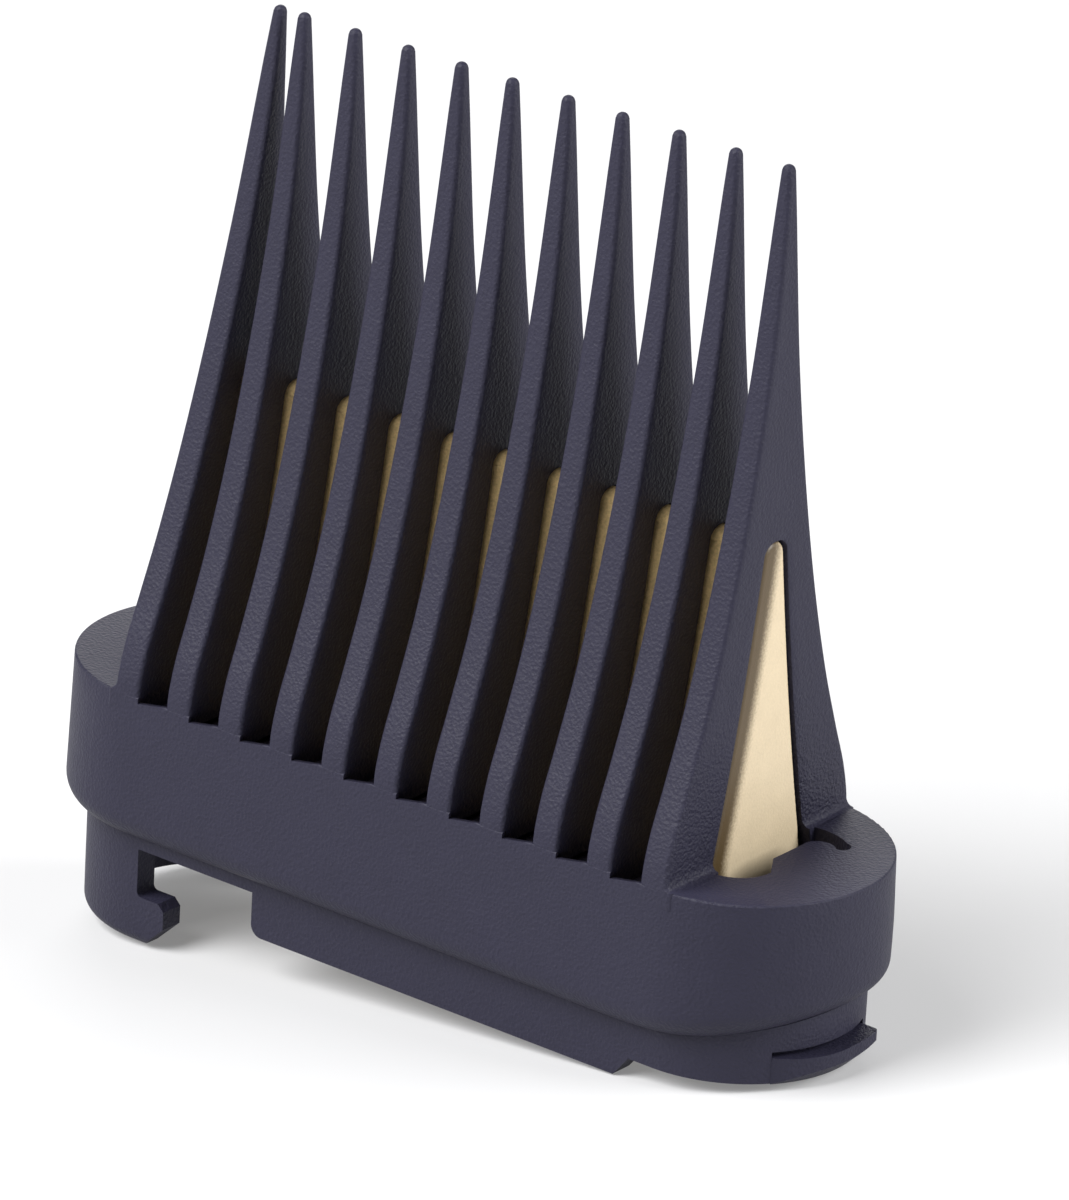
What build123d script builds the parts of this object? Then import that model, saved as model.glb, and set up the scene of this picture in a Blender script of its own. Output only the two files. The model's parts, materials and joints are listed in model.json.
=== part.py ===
from build123d import *
import os

os.makedirs("parts", exist_ok=True)

# Comb attachment: eleven A-shaped teeth on a collar, a plug-in coupling below, a wedge core inside.
# X runs along the row of teeth, Y across it, Z up. The origin is under the middle of the part.

# ---- Driving dimensions, in millimetres ----
TOOTH_COUNT = 11
PITCH = 4.5                 # from one tooth to the next
TOOTH_HEIGHT = 47.5         # tip above the pads
TOOTH_FOOT = 2.1            # blade thickness at the foot
TIP_RADIUS = 0.42           # of the rounded tip

PAD_Z = 18.8                # flat tops of the collar's ends
COLLAR_HEIGHT = 10.7
COLLAR_RADIUS = 10.35       # half depth of the collar, at its lower edge
COLLAR_TOP_RADIUS = 10.0    # half depth at the pads: the walls lean in by this draft
COLLAR_LOWER_ROUND = 1.8
RISE_FROM_X = 19.0          # from here the collar's underside curves up towards the latch end
RISE_RADIUS = 41.0
PAD_ROUND = 0.15
UNDERSIDE_DOWN = 0.9        # faces whose normals point down by more than this are the underside
DECK = 2.4                  # thickness of the collar's top
GAP_STEP = 0.42             # how far each gap between teeth dips below the pads, at one side

SKIRT_RADIUS = 8.75         # half depth of the coupling
SKIRT_WALL = 1.8
SKIRT_BAND = 1.0            # unbroken ring above the cut-outs
SKIRT_LOWER_ROUND = 0.9
TAB_BOTTOM = 3.95           # lower edge of the long front and back walls
TAB_CORNER = 0.9
TAB_SLOPE = 1.2             # length of the slope from that edge up to the latch end
LATCH_BOTTOM = 5.45         # lower edge of the latch end
CUT_FROM_X = -21.9          # the cut-out beside the hook, along the side
CUT_TO_X = -11.8
TAB_TO_X = 20.5             # where the long walls meet the latch end
HOOK_LIP_X = -19.5          # end of the hook's lip
HOOK_LIP_Z = 3.6            # upper side of the hook's lip
LIP_CROOK = 0.4
LIP_CORNER = 0.5
LIP_FACE = 1.8              # height of the lip's end
LIP_TOE = 1.9               # its underside runs back this far

LEDGE_TOP = 7.3             # the catch ledge's flat upper side
LEDGE_BOTTOM = 5.4
LEDGE_FRONT_Y = -5.2        # it fades out of the wall here
LEDGE_BACK_Y = 3.4          # and ends blunt here
LEDGE_CORNER = 0.35
GROOVE_DEPTH = 0.6          # the groove in the wall above the ledge
GROOVE_HEIGHT = 0.4

CORE_HALF_WIDTH = 4.85      # half width of the wedge at the pads
CORE_RISE = 21.7            # its ridge above the pads
CORE_RIDGE_HALF = 0.95
CORE_CLEAR = 0.15           # all round, inside the teeth
CORE_EDGE_ROUND = 0.45
FLANGE_HALF_WIDTH = 6.3     # the core's flange, which stops under the deck
FLANGE_THICK = 1.4
FLANGE_CORNER = 1.5
POCKET_COUNT = 6            # hollows in the underside of the core
POCKET_PITCH = 7.4
POCKET_LENGTH = 5.6
POCKET_WIDTH = 5.4
POCKET_DEPTH = 6.0
POCKET_CORNER = 0.8

BEYOND = 2.0                # how far a cutter runs past what it cuts

# ---- Values worked out from them ----
END_X = (TOOTH_COUNT - 1) / 2 * PITCH
TIP_Z = PAD_Z + TOOTH_HEIGHT
COLLAR_Z = PAD_Z - COLLAR_HEIGHT
CUT_TOP = COLLAR_Z - SKIRT_BAND
CAVITY_RADIUS = SKIRT_RADIUS - SKIRT_WALL
ROW_HALF = END_X + TOOTH_FOOT / 2
LONG = END_X + COLLAR_RADIUS + BEYOND
DEEP = COLLAR_RADIUS + BEYOND
DRAFT_ANGLE = 1.87                   # leans 10.35 in to 10.0 over the collar's height
RISE_TOP = COLLAR_Z + RISE_RADIUS - (RISE_RADIUS ** 2 - (LONG - RISE_FROM_X) ** 2) ** 0.5

# Sideways lean of each tooth's tip along X: the first one bends in to its neighbour.
TIP_LEAN = [2.8, 0.3, 0.15, 0.15, 0.15, -0.1, 0.05, 0, 0.15, 0.25, 0]
LEAN_POWER = 1.5            # the lean grows with this power of the height

# Half width of a blade, and half its thickness, each against its height above the pads.
BLADE_FLARE = [
    (9.4, 3.0), (8.2, 6.2), (6.5, 11.0), (4.7, 17.4), (3.05, 25.0), (1.65, 33.5), (0.85, 41.0)]
BLADE_TAPER = [(1.0, 20.0), (0.85, 34.0), (0.65, 42.5)]
TIP_SHOULDER = TOOTH_HEIGHT - TIP_RADIUS
FOOT_SLOPE = 0.05           # the outline starts nearly upright at the foot
TIP_SLOPE = 0.06


def tooth_side(tooth_x, lean, side):
    """Points up one face of a tooth, seen from the front: side is -1 for the left, 1 for the right."""
    steps = [(TOOTH_FOOT / 2, 0), *BLADE_TAPER, (TIP_RADIUS, TIP_SHOULDER)]
    return [
        (tooth_x + side * half + lean * (height / TOOTH_HEIGHT) ** LEAN_POWER, PAD_Z + height)
        for half, height in steps]


def core_half_width(height):
    """Half width of the wedge at a height above the pads."""
    slope = (CORE_HALF_WIDTH - CORE_RIDGE_HALF) / CORE_RISE
    return CORE_HALF_WIDTH - slope * height


def wedge_outline(extra, lowest):
    """Draw the wedge's section in the YZ plane, grown by extra and open down to lowest."""
    foot = core_half_width(lowest) + extra
    shoulder = CORE_RISE - CORE_RIDGE_HALF
    neck = core_half_width(shoulder) + extra
    ridge = CORE_RISE + extra
    with BuildLine() as outline:
        left = Line((-foot, PAD_Z + lowest), (-neck, PAD_Z + shoulder))
        right = Line((foot, PAD_Z + lowest), (neck, PAD_Z + shoulder))
        ThreePointArc(left @ 1, (0, PAD_Z + ridge), right @ 1)
        Line(left @ 0, right @ 0)
    make_face(outline.edges())


def stadium_ring():
    """Draw the coupling wall's section: a long ring with round ends."""
    SlotCenterToCenter(2 * END_X, 2 * SKIRT_RADIUS)
    SlotCenterToCenter(2 * END_X, 2 * CAVITY_RADIUS, mode=Mode.SUBTRACT)


def ledge_outline():
    """Draw the catch ledge from above, with its inner side inside the wall."""
    with BuildLine() as outline:
        fade = ThreePointArc((29.6, LEDGE_FRONT_Y), (31.6, -3.0), (32.2, 0.2))
        blunt = ThreePointArc(fade @ 1, (32.15, 1.8), (31.85, LEDGE_BACK_Y))
        Polyline(blunt @ 1, (END_X, LEDGE_BACK_Y), (END_X, LEDGE_FRONT_Y), fade @ 0)
    make_face(outline.edges())


# ---- Collar: the body that carries the teeth ----
with BuildPart() as collar:
    with BuildSketch(Plane.XY.offset(COLLAR_Z)):
        SlotCenterToCenter(2 * END_X, 2 * COLLAR_RADIUS)
    extrude(amount=COLLAR_HEIGHT, taper=DRAFT_ANGLE)
    rims = collar.edges().group_by(Axis.Z)
    pad_arcs = rims[-1].filter_by(GeomType.LINE, reverse=True)
    fillet(pad_arcs, PAD_ROUND)
    # The underside rises towards the latch end.
    with BuildSketch(Plane.XZ.offset(-DEEP)):
        with BuildLine():
            rise = TangentArc((RISE_FROM_X, COLLAR_Z), (LONG, RISE_TOP), tangent=(1, 0))
            Polyline(rise @ 1, (LONG, COLLAR_Z), rise @ 0)
        make_face()
    extrude(amount=2 * DEEP, mode=Mode.SUBTRACT)
    underside = collar.faces().filter_by(lambda face: face.normal_at().Z < -UNDERSIDE_DOWN)
    fillet(underside.edges().filter_by(Axis.Y, reverse=True), COLLAR_LOWER_ROUND)
    with BuildSketch(Plane.XY.offset(COLLAR_Z)):
        SlotCenterToCenter(2 * END_X, 2 * CAVITY_RADIUS)
    extrude(amount=COLLAR_HEIGHT - DECK, mode=Mode.SUBTRACT)
    # The slot in the deck that the core passes up through.
    with BuildSketch(Plane.YZ.offset(-ROW_HALF)):
        wedge_outline(CORE_CLEAR, -DECK - BEYOND)
    extrude(amount=2 * ROW_HALF, mode=Mode.SUBTRACT)
    # Each gap between two teeth dips at its left side.
    with BuildSketch(Plane.XZ.offset(-DEEP)):
        for gap in range(TOOTH_COUNT - 1):
            gap_from = gap * PITCH - END_X + TOOTH_FOOT / 2
            gap_to = gap_from + PITCH - TOOTH_FOOT
            with BuildLine():
                Polyline(
                    (gap_from, PAD_Z + BEYOND), (gap_from, PAD_Z - GAP_STEP),
                    (gap_to, PAD_Z), (gap_to, PAD_Z + BEYOND), close=True)
            make_face()
    extrude(amount=2 * DEEP, mode=Mode.SUBTRACT)
    # Opening in the right-hand pad, with a tongue that points at the core's end.
    with BuildSketch(Plane.XY.offset(PAD_Z - DECK - BEYOND)):
        with BuildLine():
            front = ThreePointArc((ROW_HALF, -5.3), (25.3, -4.9), (26.55, -2.5))
            tongue_side = Line(front @ 1, (25.3, -0.6))
            tongue_tip = Line(tongue_side @ 1, (25.3, 2.6))
            inner = ThreePointArc(tongue_tip @ 1, (25.6, 3.7), (27.3, 3.6))
            end = ThreePointArc(inner @ 1, (27.95, 4.2), (27.3, 4.85))
            outer = ThreePointArc(end @ 1, (25.5, 5.5), (ROW_HALF, 5.3))
            Line(outer @ 1, front @ 0)
        make_face()
    extrude(amount=DECK + 2 * BEYOND, mode=Mode.SUBTRACT)
collar.part.label = "collar"
export_step(collar.part, "parts/collar.step")

# ---- Teeth: flat A-shaped blades with a window for the core ----
for number in range(TOOTH_COUNT):
    tooth_x = number * PITCH - END_X
    lean = TIP_LEAN[number]
    with BuildPart() as tooth:
        with BuildSketch(Plane.YZ.offset(-LONG)):
            with BuildLine():
                right_side = Spline(
                    (COLLAR_TOP_RADIUS, PAD_Z),
                    *[(half, PAD_Z + height) for half, height in BLADE_FLARE],
                    (TIP_RADIUS, PAD_Z + TIP_SHOULDER),
                    tangents=[(-FOOT_SLOPE, 1), (-TIP_SLOPE, 1)])
                left_side = Spline(
                    (-COLLAR_TOP_RADIUS, PAD_Z),
                    *[(-half, PAD_Z + height) for half, height in BLADE_FLARE],
                    (-TIP_RADIUS, PAD_Z + TIP_SHOULDER),
                    tangents=[(FOOT_SLOPE, 1), (TIP_SLOPE, 1)])
                ThreePointArc(left_side @ 1, (0, TIP_Z), right_side @ 1)
                Line(left_side @ 0, right_side @ 0)
            make_face()
        extrude(amount=2 * LONG)
        # Seen from the front the blade tapers to a round tip, bent sideways by its lean.
        with BuildSketch(Plane.XZ.offset(-DEEP)):
            with BuildLine():
                left_face = Spline(*tooth_side(tooth_x, lean, -1))
                right_face = Spline(*tooth_side(tooth_x, lean, 1))
                ThreePointArc(left_face @ 1, (tooth_x + lean, TIP_Z), right_face @ 1)
                Line(left_face @ 0, right_face @ 0)
            make_face()
        extrude(amount=2 * DEEP, mode=Mode.INTERSECT)
        with BuildSketch(Plane.YZ.offset(-LONG)):
            wedge_outline(CORE_CLEAR, -DECK)
        extrude(amount=2 * LONG, mode=Mode.SUBTRACT)
    tooth.part.label = f"tooth_{number + 1:02d}"
    export_step(tooth.part, f"parts/{tooth.part.label}.step")

# ---- Core: the wedge that fills the teeth's windows, pushed up from below ----
with BuildPart() as core:
    flange_top = -DECK - CORE_CLEAR
    end_x = ROW_HALF - CORE_CLEAR
    with BuildSketch(Plane.YZ.offset(-end_x)):
        wedge_outline(0, flange_top)
    extrude(amount=2 * end_x)
    fillet(core.faces().sort_by(Axis.X)[-1].edges().sort_by(Axis.Z)[1:], CORE_EDGE_ROUND)
    with BuildSketch(Plane.XY.offset(PAD_Z + flange_top)):
        RectangleRounded(2 * end_x, 2 * FLANGE_HALF_WIDTH, FLANGE_CORNER)
    extrude(amount=-FLANGE_THICK)
    with BuildSketch(Plane.XY.offset(PAD_Z + flange_top - FLANGE_THICK)):
        with GridLocations(POCKET_PITCH, 1, POCKET_COUNT, 1):
            RectangleRounded(POCKET_LENGTH, POCKET_WIDTH, POCKET_CORNER)
    extrude(amount=POCKET_DEPTH, mode=Mode.SUBTRACT)
core.part.label = "core"
export_step(core.part, "parts/core.step")

# ---- Coupling: the walls that plug into the appliance ----
with BuildPart() as coupling_ring:
    with BuildSketch(Plane.XY.offset(CUT_TOP)):
        stadium_ring()
    extrude(amount=SKIRT_BAND)
    with BuildSketch(Plane.XZ.offset(-DEEP)):
        with BuildLine():
            Polyline(
                (-LONG, CUT_TOP), (-LONG, COLLAR_Z), (RISE_FROM_X, COLLAR_Z), (RISE_FROM_X, CUT_TOP),
                close=True)
        make_face()
    extrude(amount=2 * DEEP, mode=Mode.INTERSECT)
coupling_ring.part.label = "coupling_ring"
export_step(coupling_ring.part, "parts/coupling_ring.step")

with BuildPart() as hook_end_wall:
    with BuildSketch():
        SlotCenterToCenter(2 * END_X, 2 * SKIRT_RADIUS)
    extrude(amount=CUT_TOP)
    fillet(hook_end_wall.edges().group_by(Axis.Z)[0], SKIRT_LOWER_ROUND)
    with BuildSketch():
        SlotCenterToCenter(2 * END_X, 2 * CAVITY_RADIUS)
    extrude(amount=CUT_TOP, mode=Mode.SUBTRACT)
    # Side view: a straight edge beside the cut-out, and a lip that turns out below it.
    with BuildSketch(Plane.XZ.offset(-DEEP)):
        with BuildLine():
            crook = TangentArc(
                (CUT_FROM_X, HOOK_LIP_Z + LIP_CROOK), (CUT_FROM_X + LIP_CROOK, HOOK_LIP_Z),
                tangent=(0, -1))
            Polyline(
                crook @ 1, (HOOK_LIP_X - LIP_CORNER, HOOK_LIP_Z),
                (HOOK_LIP_X, HOOK_LIP_Z - LIP_CORNER), (HOOK_LIP_X, HOOK_LIP_Z - LIP_FACE),
                (HOOK_LIP_X - LIP_TOE, 0), (-LONG, 0), (-LONG, CUT_TOP), (CUT_FROM_X, CUT_TOP),
                crook @ 0)
        make_face()
    extrude(amount=2 * DEEP, mode=Mode.INTERSECT)
hook_end_wall.part.label = "hook_end_wall"
export_step(hook_end_wall.part, "parts/hook_end_wall.step")

for side, name in ((-1, "front_wall"), (1, "back_wall")):
    with BuildPart() as long_wall:
        with BuildSketch(Plane.XY.offset(TAB_BOTTOM)):
            stadium_ring()
            with Locations((0, -side * DEEP)):
                Rectangle(2 * LONG, 2 * DEEP, mode=Mode.SUBTRACT)
        extrude(amount=CUT_TOP - TAB_BOTTOM)
        with BuildSketch(Plane.XZ.offset(-DEEP)):
            with BuildLine():
                corner = TangentArc(
                    (CUT_TO_X, TAB_BOTTOM + TAB_CORNER), (CUT_TO_X + TAB_CORNER, TAB_BOTTOM),
                    tangent=(0, -1))
                Polyline(
                    corner @ 1, (TAB_TO_X - TAB_SLOPE, TAB_BOTTOM), (TAB_TO_X, LATCH_BOTTOM),
                    (TAB_TO_X, CUT_TOP), (CUT_TO_X, CUT_TOP), corner @ 0)
            make_face()
        extrude(amount=2 * DEEP, mode=Mode.INTERSECT)
    long_wall.part.label = name
    export_step(long_wall.part, f"parts/{name}.step")

with BuildPart() as latch_end_wall:
    with BuildSketch(Plane.XY.offset(LATCH_BOTTOM)):
        stadium_ring()
    extrude(amount=RISE_TOP - LATCH_BOTTOM)
    with BuildSketch(Plane.XZ.offset(-DEEP)):
        with BuildLine():
            rise = TangentArc((RISE_FROM_X, COLLAR_Z), (LONG, RISE_TOP), tangent=(1, 0))
            Polyline(
                rise @ 1, (LONG, LATCH_BOTTOM), (TAB_TO_X, LATCH_BOTTOM), (TAB_TO_X, CUT_TOP),
                (RISE_FROM_X, CUT_TOP), rise @ 0)
        make_face()
    extrude(amount=2 * DEEP, mode=Mode.INTERSECT)
    # The groove above the ledge.
    with BuildSketch(Plane.XY.offset(LEDGE_TOP)):
        ledge_outline()
        with Locations((END_X, 0)):
            Circle(SKIRT_RADIUS - GROOVE_DEPTH, mode=Mode.SUBTRACT)
    extrude(amount=GROOVE_HEIGHT, mode=Mode.SUBTRACT)
latch_end_wall.part.label = "latch_end_wall"
export_step(latch_end_wall.part, "parts/latch_end_wall.step")

with BuildPart() as catch_ledge:
    with BuildSketch(Plane.XY.offset(LEDGE_BOTTOM)):
        ledge_outline()
    extrude(amount=LEDGE_TOP - LEDGE_BOTTOM)
    blunt_corner = catch_ledge.edges().filter_by(Axis.Z).sort_by(Axis.Y)[-2:].sort_by(Axis.X)[-1]
    fillet(blunt_corner, LEDGE_CORNER)
    # Its underside runs back to the wall at 45 degrees.
    with Locations((END_X, 0, LEDGE_BOTTOM)):
        Cone(
            bottom_radius=SKIRT_RADIUS, top_radius=SKIRT_RADIUS + LEDGE_TOP - LEDGE_BOTTOM,
            height=LEDGE_TOP - LEDGE_BOTTOM, align=(Align.CENTER, Align.CENTER, Align.MIN),
            mode=Mode.INTERSECT)
    with BuildSketch(Plane.XY):
        with Locations((END_X, 0)):
            Circle(SKIRT_RADIUS)
    extrude(amount=PAD_Z, mode=Mode.SUBTRACT)
catch_ledge.part.label = "catch_ledge"
export_step(catch_ledge.part, "parts/catch_ledge.step")
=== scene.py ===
"""Builds the looks of a clip-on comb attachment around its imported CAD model.

The comb is one dark moulding with a row of tall teeth; a cream wedge core runs through them.
"""
import json
import math
from contextlib import contextmanager
import bmesh
import bpy
from bpy.props import FloatProperty, FloatVectorProperty, PointerProperty
from mathutils import Matrix, Vector


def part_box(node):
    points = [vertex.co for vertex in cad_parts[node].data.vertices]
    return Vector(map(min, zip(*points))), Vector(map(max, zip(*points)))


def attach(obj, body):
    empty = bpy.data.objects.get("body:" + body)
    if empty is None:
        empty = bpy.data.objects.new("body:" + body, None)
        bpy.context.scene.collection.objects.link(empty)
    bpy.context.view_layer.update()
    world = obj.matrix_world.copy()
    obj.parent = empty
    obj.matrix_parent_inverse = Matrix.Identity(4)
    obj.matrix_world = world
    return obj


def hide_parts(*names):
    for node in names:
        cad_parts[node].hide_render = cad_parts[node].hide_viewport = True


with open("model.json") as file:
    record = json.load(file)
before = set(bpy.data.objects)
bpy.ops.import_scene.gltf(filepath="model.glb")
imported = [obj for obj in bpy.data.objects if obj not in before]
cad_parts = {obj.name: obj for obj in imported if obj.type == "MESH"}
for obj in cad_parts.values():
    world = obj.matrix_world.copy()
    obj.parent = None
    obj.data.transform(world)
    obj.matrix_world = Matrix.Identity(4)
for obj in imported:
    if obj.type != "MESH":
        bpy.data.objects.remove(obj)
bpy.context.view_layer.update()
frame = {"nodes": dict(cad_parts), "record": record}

bl_info = {
    "name": "Comb Attachment",
    "version": (1, 0, 0),
    "blender": (4, 5, 0),
    "location": "3D View > Sidebar > Comb",
    "description": "Makes the teeth, collar, coupling and core of a clip-on comb attachment",
    "category": "Add Mesh",
}

MM = 0.001
WELD = 0.002 * MM        # points closer than this are merged
TOLERANCE = 0.01 * MM    # points closer than this to a plane count as on it
UP = (0, 0, 1)
COMB_BODY = "comb"
CORE_BODY = "core"
TOOTH_NODES = sorted(name for name in frame["nodes"] if name.startswith("tooth_"))
MIDDLE_TOOTH = TOOTH_NODES[len(TOOTH_NODES) // 2]
BODY_NODES = sorted(
    name for name in frame["record"]["behaviour"]["bodies"][COMB_BODY] if name not in TOOTH_NODES)

# Heights and lengths that the frame settles.
PAD_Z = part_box(TOOTH_NODES[0])[0].z
TIP_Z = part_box(TOOTH_NODES[0])[1].z
TOOTH_HEIGHT = TIP_Z - PAD_Z
FOOT_HALF_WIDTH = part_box(MIDDLE_TOOTH)[1].y
ROW_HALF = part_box(TOOTH_NODES[-1])[1].x
CORE_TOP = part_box("core")[1].z
WALL_FOOT_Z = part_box("front_wall")[0].z
WALL_END_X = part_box("front_wall")[1].x
HOOK_FOOT_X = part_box("hook_end_wall")[1].x


# ---------------------------------------------------------------- node trees written as Python

class Value:
    """A number in a node tree. Sums written on it add Math nodes."""

    def __init__(self, tree, socket):
        self.tree = tree
        self.socket = socket

    def _math(self, operation, *operands):
        inputs = dict(enumerate(operands))
        node = self.tree.add("ShaderNodeMath", {"operation": operation}, inputs)
        return Value(self.tree, node.outputs[0])

    def __add__(self, other):
        return self._math("ADD", self, other)

    def __radd__(self, other):
        return self._math("ADD", other, self)

    def __sub__(self, other):
        return self._math("SUBTRACT", self, other)

    def __rsub__(self, other):
        return self._math("SUBTRACT", other, self)

    def __mul__(self, other):
        return self._math("MULTIPLY", self, other)

    def __rmul__(self, other):
        return self._math("MULTIPLY", other, self)

    def __truediv__(self, other):
        return self._math("DIVIDE", self, other)

    def __rtruediv__(self, other):
        return self._math("DIVIDE", other, self)

    def __pow__(self, other):
        return self._math("POWER", self, other)

    def __abs__(self):
        return self._math("ABSOLUTE", self)

    def at_least(self, other):
        return self._math("MAXIMUM", self, other)

    def at_most(self, other):
        return self._math("MINIMUM", self, other)

    def above(self, other):
        return self._math("GREATER_THAN", self, other)

    def root(self):
        return self._math("SQRT", self)

    def step(self, low, high):
        """0 below low, 1 above high and smooth between them."""
        settings = {"interpolation_type": "SMOOTHSTEP", "clamp": True}
        node = self.tree.add(
            "ShaderNodeMapRange", settings, {"Value": self, "From Min": low, "From Max": high})
        return Value(self.tree, node.outputs[0])


class Tree:
    """Adds nodes to a shader or geometry tree: one method makes any node and feeds its sockets."""

    def __init__(self, nodes_owner):
        self.owner = nodes_owner

    def add(self, kind, settings=None, inputs=None):
        node = self.owner.nodes.new(kind)
        for name, setting in (settings or {}).items():
            setattr(node, name, setting)
        for name, value in (inputs or {}).items():
            self.feed(node.inputs[name], value)
        return node

    def feed(self, socket, value):
        """Links a socket to a value, or sets it to a plain one."""
        if isinstance(value, Value):
            value = value.socket
        if isinstance(value, bpy.types.NodeSocket):
            self.owner.links.new(value, socket)
        else:
            socket.default_value = value

    def value(self, kind, settings=None, inputs=None):
        """The first output of a new node, as a number."""
        return Value(self, self.add(kind, settings, inputs).outputs[0])


# ---------------------------------------------------------------- materials

# The moulding's grain.
GRAIN_RELIEF = 0.34 * MM     # depth of the bumps
PITS_PER_GRAIN = 0.8
BROAD_PATCH = 14             # widths of grain in a patch of lighter or darker plastic
SHADE = 0.2                  # how far such a patch strays from the moulding's colour
PLAIN_STRENGTH = 0.3
COARSE_STRENGTH = 0.5        # added low on the last tooth's outer face
COARSE_UNTIL = 12 * MM       # height above the pad where that has faded out
# The core's finish, with its border of painted shade in mm in from the edge of its end face. The brown
# there stands in for the shade where that edge would round away into the dark gap.
CORE_RELIEF = 0.05 * MM
CORE_PATCH = 9
RAGGED_EDGE = 0.7
FRONT_SHADED_BORDER = (0.95, 2.2)
BACK_SHADED_BORDER = (0.0, 0.3)
END_COLOUR_DEPTH = 0.7       # in mm, how deep in an end tooth's window the end's colour is still full


def new_material(name):
    """An empty material with an output node."""
    material = bpy.data.materials.new(name)
    material.use_nodes = True
    material.node_tree.nodes.clear()
    return material, Tree(material.node_tree)


def object_place(tree):
    """The place on a piece: as a vector, and as its x, y and z in metres."""
    place = tree.add("ShaderNodeTexCoord").outputs["Object"]
    split = tree.add("ShaderNodeSeparateXYZ", None, {"Vector": place})
    return (place, *(Value(tree, split.outputs[axis]) for axis in "XYZ"))


def noise(tree, coordinates, scale, detail, roughness):
    """Soft random values from 0 to 1."""
    return tree.value(
        "ShaderNodeTexNoise", None,
        {"Vector": coordinates, "Scale": scale, "Detail": detail, "Roughness": roughness})


def mixed(tree, factor, first, second):
    """The first colour at factor 0, the second at 1. Each is a socket or three numbers."""
    mix = tree.add("ShaderNodeMix", {"data_type": "RGBA"}, {"Factor": factor})
    for socket, colour in ((mix.inputs[6], first), (mix.inputs[7], second)):
        is_socket = isinstance(colour, bpy.types.NodeSocket)
        tree.feed(socket, colour if is_socket else (*colour, 1.0))
    return mix.outputs[2]


def comb_plastic(look):
    """Dark blue-black plastic with a fine moulded grain, coarser low on the last tooth's outer face."""
    material, tree = new_material("comb_plastic_grain")
    place, along, _, height = object_place(tree)
    grain_scale = 1 / look.grain_size
    fine = noise(tree, place, grain_scale, 3.0, 0.55)
    broad = noise(tree, place, grain_scale / BROAD_PATCH, 2.0, 0.5)
    pits = tree.value("ShaderNodeTexVoronoi", {"feature": "F1"}, {
        "Vector": place, "Scale": grain_scale * PITS_PER_GRAIN})
    end_face = along.step(ROW_HALF - 0.5 * MM, ROW_HALF + 0.3 * MM)
    near_foot = 1 - height.step(PAD_Z + 1 * MM, PAD_Z + COARSE_UNTIL)
    above_pad = height.step(PAD_Z + 0.1 * MM, PAD_Z + 0.4 * MM)
    coarse = end_face * near_foot * above_pad
    relief = fine * 0.7 + pits * 0.5
    strength = PLAIN_STRENGTH + coarse * COARSE_STRENGTH
    bump = tree.add("ShaderNodeBump", None, {
        "Strength": look.grain_depth, "Distance": GRAIN_RELIEF, "Height": relief * strength})
    base = Vector(look.comb_colour)
    tone = fine * 0.6 + broad * 0.4
    colour = mixed(tree, tone, base * (1 - SHADE), base * (1 + SHADE))
    shader = tree.add("ShaderNodeBsdfPrincipled", None, {
        "Base Color": colour,
        "Roughness": 0.46 + fine * 0.16,
        "Normal": bump.outputs["Normal"],
        "Specular IOR Level": 0.24,
    })
    tree.add("ShaderNodeOutputMaterial", None, {"Surface": shader.outputs[0]})
    return material


def core_satin_and_shade(look):
    """Cream satin plastic with a faint speckle and a border of painted brown shade on its end face,
    golden between the teeth.
    """
    material, tree = new_material("core_satin")
    place, along, across, up = object_place(tree)
    grain_scale = 1 / look.grain_size
    fine = noise(tree, place, grain_scale, 3.0, 0.6)
    broad = noise(tree, place, grain_scale / CORE_PATCH, 3.0, 0.6)
    bump = tree.add("ShaderNodeBump", None, {
        "Strength": look.grain_depth * 0.5, "Distance": CORE_RELIEF, "Height": fine})
    across = across / MM
    side = wedge_half_width(((up - PAD_Z) / MM).at_least(0.0))
    # The border of painted shade is widest at the front and has a ragged edge.
    ragged = (fine - 0.5) * RAGGED_EDGE
    unshaded = (side + across + ragged).step(*FRONT_SHADED_BORDER) * (side - across + ragged).step(*BACK_SHADED_BORDER)
    speckle = (fine * 0.7 + broad * 0.5).step(0.25, 0.85)
    # Painted shade: the end face darkens to the border colour near its front and back edges.
    end_face = mixed(tree, (speckle * 0.14 + 0.86) * unshaded, look.border_shade_colour, look.core_colour)
    gold = Vector(look.flank_colour)
    flank = mixed(tree, fine.step(0.2, 0.8), gold * 0.7, gold * 1.1)
    in_end_window = abs(along).step(ROW_HALF - END_WINDOW * MM, ROW_HALF - END_COLOUR_DEPTH * MM)
    colour = mixed(tree, in_end_window, flank, end_face)
    shader = tree.add("ShaderNodeBsdfPrincipled", None, {
        "Base Color": colour,
        "Roughness": 0.34 + fine * 0.2,
        "Normal": bump.outputs["Normal"],
        "Specular IOR Level": 0.5,
    })
    tree.add("ShaderNodeOutputMaterial", None, {"Surface": shader.outputs[0]})
    return material


def floor_paper():
    """Plain white backdrop."""
    material, tree = new_material("floor_paper")
    shader = tree.add("ShaderNodeBsdfPrincipled", None, {
        "Base Color": (0.45, 0.45, 0.455, 1.0),
        "Roughness": 0.9,
        "Specular IOR Level": 0.1,
        "Emission Color": (1.0, 1.0, 1.0, 1.0),
        "Emission Strength": 0.22,
    })
    tree.add("ShaderNodeOutputMaterial", None, {"Surface": shader.outputs[0]})
    return material


def shared_material(name, maker):
    """The material of that name, made the first time it is asked for."""
    return bpy.data.materials.get(name) or maker()


# ---------------------------------------------------------------- helpers for pieces

def add_object(name, data):
    """A new object in the scene, at the origin."""
    piece = bpy.data.objects.new(name, data)
    bpy.context.scene.collection.objects.link(piece)
    return piece


def finish_piece(piece, body, material, nodes):
    """Gives a finished piece its material and its place in the frame."""
    if piece.data.materials:
        piece.data.materials[0] = material
    else:
        piece.data.materials.append(material)
    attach(piece, body)
    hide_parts(*nodes)


@contextmanager
def opened(mesh):
    """A mesh opened for editing, and written back at the end."""
    shape = bmesh.new()
    shape.from_mesh(mesh)
    yield shape
    shape.to_mesh(mesh)
    shape.free()


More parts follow.
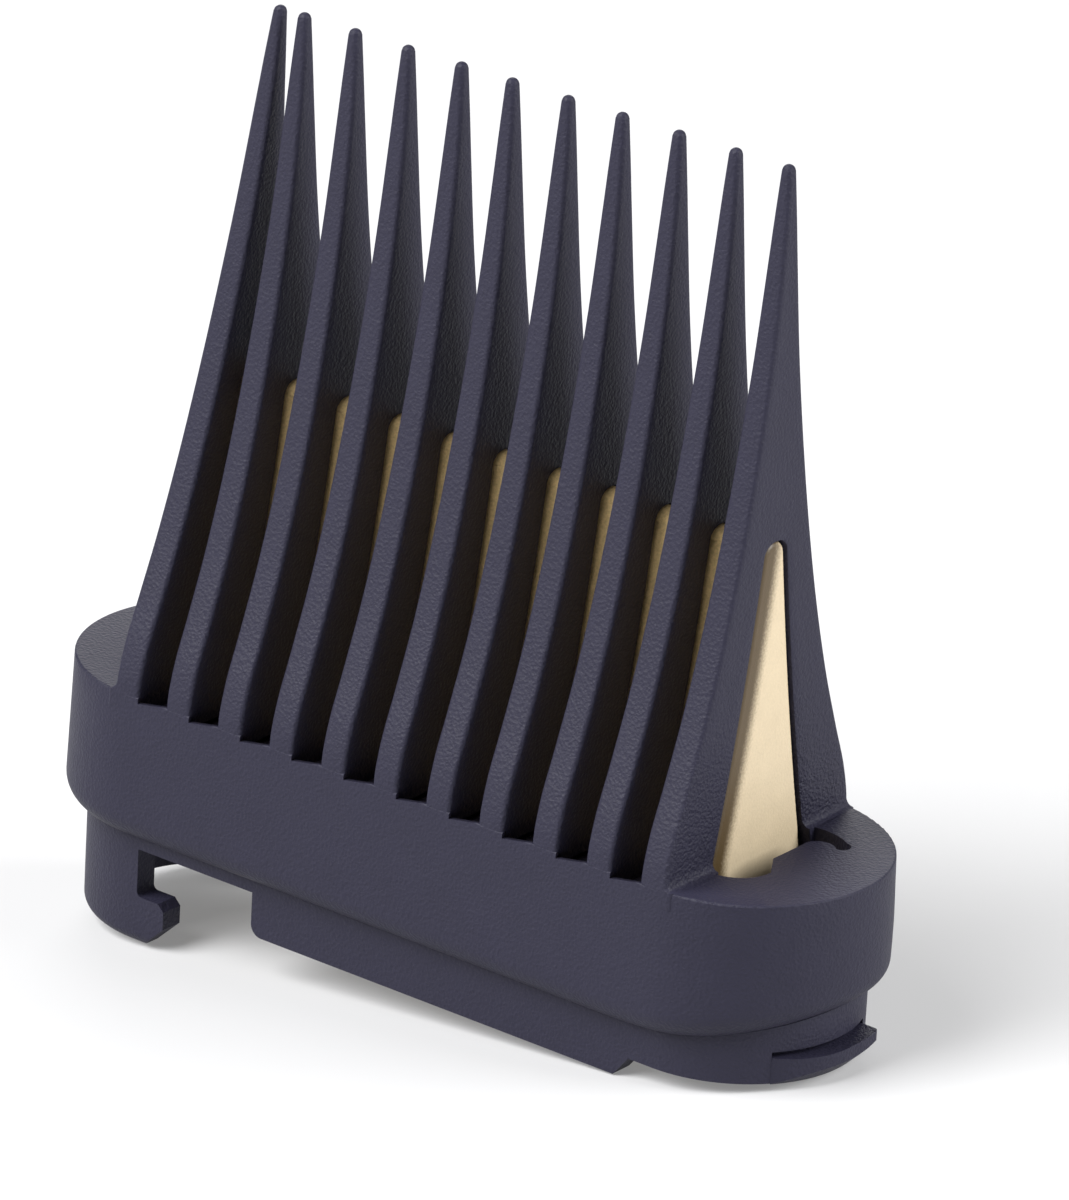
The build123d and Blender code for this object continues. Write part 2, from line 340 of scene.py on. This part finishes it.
def cut(shape, point, normal):
    """Adds a line of points where a plane crosses the shape."""
    bmesh.ops.bisect_plane(
        shape, geom=shape.verts[:] + shape.edges[:] + shape.faces[:],
        plane_co=point, plane_no=normal)


def smoothed_copy(node, name, sharp_degrees):
    """A copy of a CAD node's surface with its seams merged and smooth shading between sharp edges."""
    mesh = frame["nodes"][node].data.copy()
    mesh.name = name
    with opened(mesh) as shape:
        bmesh.ops.remove_doubles(shape, verts=shape.verts, dist=WELD)
    if "custom_normal" in mesh.attributes:
        mesh.attributes.remove(mesh.attributes["custom_normal"])
    mesh.shade_smooth()
    mesh.set_sharp_from_angle(angle=math.radians(sharp_degrees))
    return add_object(name, mesh)


# ---------------------------------------------------------------- teeth

# Blade sizes in mm, each against the height above the pads in mm, from the foot to the tip.
BLADE_FLARE = (
    (0.0, 10.0), (3.0, 9.4), (6.2, 8.2), (11.0, 6.5), (17.4, 4.7), (25.0, 3.05), (33.5, 1.65),
    (41.0, 0.85), (47.08, 0.42))
BLADE_TAPER = ((0.0, 1.05), (20.0, 1.0), (34.0, 0.85), (42.5, 0.65), (47.08, 0.42))
FOOT_SLOPE = -0.05
TIP_SLOPE = -0.06
LEAN_POWER = 1.5         # a blade's sideways lean grows with this power of the height
# The wedge in the windows: its half width is foot - slope * height + curve * height ** 2.
WEDGE_FOOT = 4.85
WEDGE_SLOPE = 0.2222
WEDGE_CURVE = 0.0021
WEDGE_NECK = 20.75
WEDGE_RIDGE = (CORE_TOP - PAD_Z) / MM
WEDGE_ROWS = 12
PACKED_SLOPE = 0.1797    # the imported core's sides are straight
WEDGE_SLIM = 0.34        # taken off each side, between the end teeth
END_WINDOW = 1.8         # depth of an end tooth's window that the full wedge fills
WINDOW_GAP = 0.07
# The blades run on below the pads, just inside the collar's leaning walls.
FOOT_DEPTH = 1.2
FOOT_INSET = 0.02
WALL_LEAN = 0.0327
# Rows of points up a blade: closer together at the foot, at the top of the window and at the tip.
FOOT_ROWS = (-FOOT_DEPTH, 0.0, 0.04, 0.1, 0.18, 0.28, 0.4, 0.52, 0.7, 1.0, 1.4, 2.0, 2.6)
EVEN_ROW = 0.7
ARC_STEPS = 10           # over the top of the window, and over the tip
EDGE_ARC_STEPS = 4       # round an outer edge of a blade
WINDOW_ARC_STEPS = 2     # round an edge of its window
FLAT_STEPS = 4           # across its flat side
ROUND_LIMIT = 0.9        # a rounding is at most this share of a half thickness or half width
BLADE_SHARP_DEGREES = 40


def curve_through(points, height, first_slope, last_slope):
    """Value at a height on a smooth curve through (height, value) points."""
    slopes = [first_slope]
    for (z0, v0), (z1, v1) in zip(points, points[2:]):
        slopes.append((v1 - v0) / (z1 - z0))
    slopes.append(last_slope)
    i = 0
    while i < len(points) - 2 and height > points[i + 1][0]:
        i += 1
    (z0, v0), (z1, v1) = points[i], points[i + 1]
    span = z1 - z0
    t = (height - z0) / span
    return (
        (2 * t ** 3 - 3 * t ** 2 + 1) * v0 + (t ** 3 - 2 * t ** 2 + t) * span * slopes[i]
        + (3 * t ** 2 - 2 * t ** 3) * v1 + (t ** 3 - t ** 2) * span * slopes[i + 1])


def blade_half_width(height):
    """Half width of a blade at a height, in mm: straight down inside the wall below the pads."""
    if height < 0:
        return BLADE_FLARE[0][1] - FOOT_INSET - WALL_LEAN * height
    inset = FOOT_INSET * max(0.0, 1 - height)
    return curve_through(BLADE_FLARE, height, FOOT_SLOPE, TIP_SLOPE) - inset


def blade_half_thickness(height):
    """Half thickness of a blade at a height, in mm."""
    return curve_through(BLADE_TAPER, max(height, 0.0), 0.0, TIP_SLOPE)


def wedge_half_width(height):
    """Half width of the wedge at a height, in mm, below its rounded ridge."""
    return WEDGE_FOOT - WEDGE_SLOPE * height + WEDGE_CURVE * height * height


def window_half_width(height):
    """Half width of the window: the wedge's, with a small gap, closing at its own top."""
    side = wedge_half_width(min(height, WEDGE_NECK)) + WINDOW_GAP
    rise = max(0.0, height - WEDGE_NECK) / (WEDGE_RIDGE + WINDOW_GAP - WEDGE_NECK)
    return side * math.sqrt(max(0.0, 1 - rise * rise))


def quarter_turn(steps):
    """Angles from 0 to a right angle."""
    return [math.pi / 2 * i / steps for i in range(steps + 1)]


def blade_rows():
    """Heights of the rows of points up a blade, and the row where the window closes, in mm."""
    top = WEDGE_RIDGE + WINDOW_GAP
    rows = list(FOOT_ROWS)
    start = rows[-1]
    count = round((WEDGE_NECK - start) / EVEN_ROW)
    rows += [start + (WEDGE_NECK - start) * (i + 1) / count for i in range(count)]
    rows += [
        WEDGE_NECK + (top - WEDGE_NECK) * math.sin(turn) for turn in quarter_turn(ARC_STEPS)[1:]]
    closed = len(rows) - 1
    tip_z = BLADE_FLARE[-1][0]
    count = round((tip_z - top) / EVEN_ROW)
    rows += [top + (tip_z - top) * (i + 1) / count for i in range(count)]
    return rows, closed


def half_section(inner, outer, half, rounding, inner_rounding):
    """Half a section of a blade as (x, y) points in mm, from front to back round its outer edge."""
    front = [
        (half - inner_rounding * (1 - math.sin(turn)), inner + inner_rounding * (1 - math.cos(turn)))
        for turn in quarter_turn(WINDOW_ARC_STEPS)]
    flat = outer - rounding - inner - inner_rounding
    front += [(half, inner + inner_rounding + flat * i / FLAT_STEPS) for i in range(1, FLAT_STEPS)]
    front += [
        (half - rounding * (1 - math.cos(turn)), outer - rounding * (1 - math.sin(turn)))
        for turn in quarter_turn(EDGE_ARC_STEPS)]
    return front + [(-x, y) for x, y in reversed(front)]


def blade_mesh(look):
    """One upright blade at x = 0, with its window, as a grid of even rows."""
    rows, closed = blade_rows()
    tip_z, tip_radius = BLADE_FLARE[-1]
    edge_round = look.edge_round / MM
    window_round = look.window_round / MM
    sections = []
    for i, height in enumerate(rows):
        inner = window_half_width(height) if i < closed else 0.0
        outer = blade_half_width(height)
        half = blade_half_thickness(height)
        rounding = min(edge_round, ROUND_LIMIT * half, ROUND_LIMIT * outer)
        window_edge = min(window_round, inner / 2)
        sections.append((height, half_section(inner, outer, half, rounding, window_edge)))
    for turn in quarter_turn(ARC_STEPS)[1:-1]:
        radius = tip_radius * math.cos(turn)
        sections.append((
            tip_z + tip_radius * math.sin(turn),
            half_section(0.0, radius, radius, ROUND_LIMIT * radius, 0.0)))
    shape = bmesh.new()
    for mirror in (1, -1):
        made = [
            [shape.verts.new(Vector((x, mirror * y, z)) * MM) for x, y in section]
            for z, section in sections]
        for lower, upper in zip(made, made[1:]):
            for (a, b), (c, d) in zip(zip(lower, lower[1:]), zip(upper, upper[1:])):
                shape.faces.new((a, b, d, c))
        for lower, upper in zip(made[:closed], made[1:closed + 1]):
            shape.faces.new((lower[0], upper[0], upper[-1], lower[-1]))
        shape.faces.new(made[0])
        shape.faces.new(made[-1])
    bmesh.ops.remove_doubles(shape, verts=shape.verts, dist=WELD)
    bmesh.ops.recalc_face_normals(shape, faces=shape.faces)
    mesh = bpy.data.meshes.new("blade")
    shape.to_mesh(mesh)
    shape.free()
    return mesh


def foot_and_lean(node):
    """The x of the middle of a tooth's foot, and how far its tip leans along X."""
    points = [v.co for v in frame["nodes"][node].data.vertices]
    tip = max(points, key=lambda p: p.z)
    foot = [p.x for p in points if p.z < PAD_Z + TOLERANCE]
    middle = (min(foot) + max(foot)) / 2
    return middle, tip.x - middle


def row_number(tree, name):
    """A number that each point of the row carries."""
    return tree.value("GeometryNodeInputNamedAttribute", {"data_type": "FLOAT"}, {"Name": name})


def tooth_row_tree():
    """Geometry nodes: a blade on every point of a row, each bent sideways by its own lean."""
    group = bpy.data.node_groups.new("tooth_row", "GeometryNodeTree")
    inputs = (
        ("Geometry", "Geometry"), ("Blade", "Object"), ("Height", "Float"),
        ("Pad Height", "Float"), ("Root Rounding", "Float"), ("Material", "Material"))
    for name, kind in inputs:
        group.interface.new_socket(name, in_out="INPUT", socket_type=f"NodeSocket{kind}")
    group.interface.new_socket("Geometry", in_out="OUTPUT", socket_type="NodeSocketGeometry")
    tree = Tree(group)
    given = tree.add("NodeGroupInput")
    blade_shape = tree.add("GeometryNodeObjectInfo", None, {"Object": given.outputs["Blade"]})
    placed = tree.add("GeometryNodeInstanceOnPoints", None, {
        "Points": given.outputs["Geometry"], "Instance": blade_shape.outputs["Geometry"]})
    real = tree.add("GeometryNodeRealizeInstances", None, {"Geometry": placed.outputs[0]})
    place = tree.add("GeometryNodeInputPosition").outputs[0]
    split = tree.add("ShaderNodeSeparateXYZ", None, {"Vector": place})
    along = Value(tree, split.outputs["X"])
    height = Value(tree, split.outputs["Z"]) - given.outputs["Pad Height"]
    share = (height / given.outputs["Height"]).at_least(0.0)
    bend = row_number(tree, "lean") * share ** LEAN_POWER
    # A concave round where the outer face of each end tooth meets its pad. It keeps its full width
    # below the pad, where its corners stand out of the collar's wall by 0.07 mm.
    radius = Value(tree, given.outputs["Root Rounding"])
    below = (radius - height).at_least(0.0).at_most(radius)
    flare = radius - (radius * radius - below * below).at_least(0.0).root()
    end = row_number(tree, "row_end")
    outer_face = ((along - row_number(tree, "foot_x")) * end).above(0.0)
    shift = tree.add("ShaderNodeCombineXYZ", None, {"X": bend + flare * outer_face * end})
    moved = tree.add("GeometryNodeSetPosition", None, {
        "Geometry": real.outputs[0], "Offset": shift.outputs[0]})
    painted = tree.add("GeometryNodeSetMaterial", None, {
        "Geometry": moved.outputs[0], "Material": given.outputs["Material"]})
    tree.add("NodeGroupOutput", None, {"Geometry": painted.outputs[0]})
    return group


def set_input(modifier, name, value):
    """Sets a geometry-nodes input by its socket's identifier."""
    for item in modifier.node_group.interface.items_tree:
        if item.item_type == "SOCKET" and item.in_out == "INPUT" and item.name == name:
            modifier[item.identifier] = value
            return
    raise KeyError(name)


class COMB_OT_teeth(bpy.types.Operator):
    """Make the row of tall teeth"""
    bl_idname = "comb.teeth"
    bl_label = "Teeth"

    def execute(self, context):
        look = context.scene.comb_look
        blade = add_object("blade", blade_mesh(look))
        material = shared_material("comb_plastic_grain", lambda: comb_plastic(look))
        feet, leans = zip(*(foot_and_lean(node) for node in TOOTH_NODES))
        row = bpy.data.meshes.new("tooth_points")
        row.from_pydata([(x, 0.0, PAD_Z) for x in feet], [], [])
        columns = {
            "lean": leans,
            "foot_x": feet,
            "row_end": [-1.0] + [0.0] * (len(feet) - 2) + [1.0],
        }
        for name, numbers in columns.items():
            row.attributes.new(name, "FLOAT", "POINT").data.foreach_set("value", numbers)
        base = add_object("tooth_points", row)
        modifier = base.modifiers.new("row", "NODES")
        modifier.node_group = tooth_row_tree()
        inputs = {
            "Blade": blade, "Height": TOOTH_HEIGHT, "Pad Height": PAD_Z,
            "Root Rounding": look.root_round, "Material": material}
        for name, value in inputs.items():
            set_input(modifier, name, value)
        solid = base.evaluated_get(context.evaluated_depsgraph_get())
        mesh = bpy.data.meshes.new_from_object(solid)
        mesh.name = "teeth"
        bpy.data.objects.remove(base)
        bpy.data.objects.remove(blade)
        mesh.shade_smooth()
        mesh.set_sharp_from_angle(angle=math.radians(BLADE_SHARP_DEGREES))
        finish_piece(add_object("teeth", mesh), COMB_BODY, material, TOOTH_NODES)
        return {"FINISHED"}


# ---------------------------------------------------------------- collar, coupling and core

# The collar's latch end: its middle along X, the coupling's radius, and how far it draws in
# below a height, as a share of its radius at the lower edge.
WALL_ROUND_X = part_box("collar")[1].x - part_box("collar")[1].y
SKIRT_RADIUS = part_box("hook_end_wall")[1].y
LATCH_FROM_Z = PAD_Z - 3.5 * MM
LATCH_DRAW = 0.07
LATCH_ROWS = 8
SKIRT_MARGIN = 0.05 * MM
# The floor between the teeth: a lip at its edge, then a drop.
LIP_WIDTH = 0.35 * MM
LIP_SLOPE = 0.25 * MM
FLOOR_DROP = 0.9 * MM
GAP_DEPTH = 0.5 * MM     # only points this close below the pads drop
ROW_MARGIN = 0.1 * MM


def draw_in_latch_end(mesh):
    """Draws the collar's round latch end in towards its lower edge."""
    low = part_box("collar")[0].z
    with opened(mesh) as shape:
        for i in range(LATCH_ROWS):
            cut(shape, (0, 0, low + (LATCH_FROM_Z - low) * (i + 1) / LATCH_ROWS), UP)
        for vert in shape.verts:
            x, y = vert.co.x - WALL_ROUND_X, vert.co.y
            outside = math.hypot(x, y) > SKIRT_RADIUS + SKIRT_MARGIN
            if x > 0 and vert.co.z < LATCH_FROM_Z and outside:
                depth = (LATCH_FROM_Z - vert.co.z) / (LATCH_FROM_Z - low)
                towards_end = math.cos(math.atan2(y, x)) ** 2
                keep = 1 - LATCH_DRAW * depth ** 2 * towards_end
                vert.co.x = WALL_ROUND_X + x * keep
                vert.co.y *= keep


def sink_gap_floors(mesh):
    """Lets the floor between the teeth fall away behind a narrow lip at the front and the back."""
    edge = FOOT_HALF_WIDTH - LIP_WIDTH
    with opened(mesh) as shape:
        for line in (edge, edge - LIP_SLOPE):
            for side in (-1, 1):
                cut(shape, (0, side * line, 0), (0, 1, 0))
        for vert in shape.verts:
            in_row = abs(vert.co.x) < ROW_HALF - ROW_MARGIN
            if in_row and vert.co.z > PAD_Z - GAP_DEPTH and abs(vert.co.y) < edge - TOLERANCE:
                vert.co.z -= FLOOR_DROP


class COMB_OT_body(bpy.types.Operator):
    """Make the collar and the walls of the coupling"""
    bl_idname = "comb.body"
    bl_label = "Collar and coupling"

    def execute(self, context):
        look = context.scene.comb_look
        material = shared_material("comb_plastic_grain", lambda: comb_plastic(look))
        for node in BODY_NODES:
            piece = smoothed_copy(node, f"{node}_moulding", look.sharp_angle)
            if node == "collar":
                draw_in_latch_end(piece.data)
                sink_gap_floors(piece.data)
            finish_piece(piece, COMB_BODY, material, [node])
        return {"FINISHED"}


def fit_wedge(mesh):
    """Bends the core's straight sides to the slightly hollow outline of the windows.

    Between the end teeth it is slimmer than the windows. Its hook end leans with the first tooth,
    so that it stays flush with that tooth's face.
    """
    _, lean = foot_and_lean(TOOTH_NODES[0])
    window_x = ROW_HALF - END_WINDOW * MM
    slim_until = window_x + TOLERANCE
    with opened(mesh) as shape:
        for i in range(WEDGE_ROWS):
            cut(shape, (0, 0, PAD_Z + WEDGE_NECK * MM * i / (WEDGE_ROWS - 1)), UP)
        for end in (-1, 1):
            cut(shape, (end * window_x, 0, 0), (1, 0, 0))
        for vert in shape.verts:
            height = min(max((vert.co.z - PAD_Z) / MM, 0.0), WEDGE_NECK)
            side = wedge_half_width(height)
            if abs(vert.co.x) < slim_until and height > 0:
                side -= WEDGE_SLIM
            vert.co.y *= side / (WEDGE_FOOT - PACKED_SLOPE * height)
            if vert.co.x < -slim_until:
                vert.co.x += lean * (height * MM / TOOTH_HEIGHT) ** LEAN_POWER


class COMB_OT_core(bpy.types.Operator):
    """Make the wedge core that runs through the teeth"""
    bl_idname = "comb.core"
    bl_label = "Core"

    def execute(self, context):
        look = context.scene.comb_look
        material = shared_material("core_satin", lambda: core_satin_and_shade(look))
        piece = smoothed_copy("core", "wedge_core", look.sharp_angle)
        fit_wedge(piece.data)
        finish_piece(piece, CORE_BODY, material, ["core"])
        return {"FINISHED"}


# ---------------------------------------------------------------- stage

FLOOR_HALF = 3.0
# Each light's name, place and size, in metres.
LIGHTS = (
    ("key", (-0.38, -0.62, 0.72), 0.8),
    ("side", (0.76, 0.32, 0.54), 0.6),
    ("rim", (-0.55, 0.75, 0.42), 0.6))
# The camera, in metres and degrees: it looks towards a point on the part's axis from a distance.
CAMERA_AIM = (0.0, 0.0, 0.02524)
CAMERA_DISTANCE = 0.65492
CAMERA_AZIMUTH = 37.49
CAMERA_ELEVATION = 22.78
CAMERA_ROLL = 3.09
CAMERA_NEAR = 0.01
SENSOR_MM = 36.0
LENS_MM = 294.3
LENS_SHIFT = (0.0431, 0.0485)


def area_light(name, spot, aim, size, power):
    """A square soft white light at spot that faces aim, in metres and watts."""
    lamp = bpy.data.lights.new(name, "AREA")
    lamp.shape = "SQUARE"
    lamp.size = size
    lamp.energy = power
    holder = add_object(name, lamp)
    holder.location = spot
    holder.rotation_euler = (Vector(aim) - Vector(spot)).to_track_quat("-Z", "Y").to_euler()


def camera_turn(azimuth, elevation, roll):
    """The direction to a camera, and its rotation when it looks back and is tilted by roll."""
    away = Vector((
        math.sin(azimuth) * math.cos(elevation), -math.cos(azimuth) * math.cos(elevation),
        math.sin(elevation)))
    turn = (-away).to_track_quat("-Z", "Y").to_matrix()
    return away, turn @ Matrix.Rotation(roll, 3, "Z")


class COMB_OT_stage(bpy.types.Operator):
    """Make the floor, the soft light and the camera"""
    bl_idname = "comb.stage"
    bl_label = "Stage"

    def execute(self, context):
        scene = context.scene
        look = scene.comb_look
        scene.view_settings.view_transform = "Standard"
        # Standing alone, the part leans on its hook end and the far corner of its long walls.
        lean = math.atan2(WALL_FOOT_Z, WALL_END_X - HOOK_FOOT_X)
        floor_mesh = bpy.data.meshes.new("floor")
        corners = [
            (x * FLOOR_HALF, y * FLOOR_HALF, 0) for x, y in ((-1, -1), (1, -1), (1, 1), (-1, 1))]
        floor_mesh.from_pydata(corners, [], [(0, 1, 2, 3)])
        floor_mesh.materials.append(floor_paper())
        floor = add_object("floor", floor_mesh)
        floor_mesh.transform(
            Matrix.Translation((HOOK_FOOT_X, 0, 0)) @ Matrix.Rotation(-lean, 4, "Y"))
        world = bpy.data.worlds.new("studio")
        world.use_nodes = True
        background = world.node_tree.nodes["Background"]
        background.inputs["Color"].default_value = (1.0, 1.0, 1.0, 1.0)
        background.inputs["Strength"].default_value = look.ambient
        scene.world = world
        middle = Vector((0.0, 0.0, TIP_Z / 2))
        for name, spot, size in LIGHTS:
            area_light(name, spot, middle, size, getattr(look, f"{name}_power"))
        lens = bpy.data.cameras.new("camera")
        lens.sensor_width = SENSOR_MM
        lens.lens = LENS_MM
        lens.shift_x, lens.shift_y = LENS_SHIFT
        lens.clip_start = CAMERA_NEAR
        camera = add_object("camera", lens)
        away, turn = camera_turn(
            math.radians(CAMERA_AZIMUTH), math.radians(CAMERA_ELEVATION), math.radians(CAMERA_ROLL))
        camera.location = Vector(CAMERA_AIM) + away * CAMERA_DISTANCE
        camera.rotation_euler = turn.to_euler()
        scene.camera = camera
        return {"FINISHED"}


# ---------------------------------------------------------------- settings and panel

class CombLook(bpy.types.PropertyGroup):
    """Sizes and colours of the comb attachment."""
    comb_colour: FloatVectorProperty(
        name="Comb colour", description="Colour of the moulding", subtype="COLOR",
        default=(0.0185, 0.0175, 0.034), min=0.0, max=1.0)
    core_colour: FloatVectorProperty(
        name="Core colour", description="Colour of the wedge core", subtype="COLOR",
        default=(0.62, 0.51, 0.345), min=0.0, max=1.0)
    flank_colour: FloatVectorProperty(
        name="Core flanks", description="Colour of the core between the teeth", subtype="COLOR",
        default=(0.72, 0.52, 0.24), min=0.0, max=1.0)
    # Painted shade: this dark brown stands in for the shade on the edges of the core's end face.
    border_shade_colour: FloatVectorProperty(
        name="Core border", description="Colour of the core's darker border", subtype="COLOR",
        default=(0.075, 0.048, 0.018), min=0.0, max=1.0)
    grain_size: FloatProperty(
        name="Grain", description="Width of the moulded grain", subtype="DISTANCE",
        default=0.2 * MM, min=0.05 * MM)
    grain_depth: FloatProperty(
        name="Grain depth", description="How strongly the grain shows", default=0.8, min=0.0)
    edge_round: FloatProperty(
        name="Edge rounding", description="Radius along the edges of the teeth",
        subtype="DISTANCE", default=0.32 * MM)
    window_round: FloatProperty(
        name="Window rounding", description="Radius round the windows in the teeth",
        subtype="DISTANCE", default=0.12 * MM)
    root_round: FloatProperty(
        name="Root rounding", description="Radius where an end tooth meets its pad",
        subtype="DISTANCE", default=0.6 * MM)
    sharp_angle: FloatProperty(
        name="Sharp angle", description="Edges above this many degrees stay sharp", default=28.0)
    ambient: FloatProperty(name="Ambient", description="Light from all around", default=0.1)
    key_power: FloatProperty(
        name="Key", description="Main light, at the front of the hook end", unit="POWER", default=22.0)
    side_power: FloatProperty(
        name="Side", description="Light on the latch end", unit="POWER", default=12.0)
    rim_power: FloatProperty(
        name="Rim", description="Light from behind", unit="POWER", default=4.0)


class COMB_PT_panel(bpy.types.Panel):
    """Lists the comb's settings and the pieces that can be made."""
    bl_idname = "COMB_PT_panel"
    bl_label = "Comb Attachment"
    bl_space_type = "VIEW_3D"
    bl_region_type = "UI"
    bl_category = "Comb"

    def draw(self, context):
        column = self.layout.column()
        look = context.scene.comb_look
        for name in CombLook.__annotations__:
            column.prop(look, name)
        for operator in OPERATORS:
            column.operator(operator.bl_idname)


OPERATORS = (COMB_OT_teeth, COMB_OT_body, COMB_OT_core, COMB_OT_stage)
CLASSES = (CombLook, *OPERATORS, COMB_PT_panel)


def register():
    for item in CLASSES:
        bpy.utils.register_class(item)
    bpy.types.Scene.comb_look = PointerProperty(type=CombLook)


def unregister():
    del bpy.types.Scene.comb_look
    for item in reversed(CLASSES):
        bpy.utils.unregister_class(item)


def main():
    register()
    bpy.ops.comb.teeth()
    bpy.ops.comb.body()
    bpy.ops.comb.core()
    bpy.ops.comb.stage()


if __name__ == "__main__":
    main()
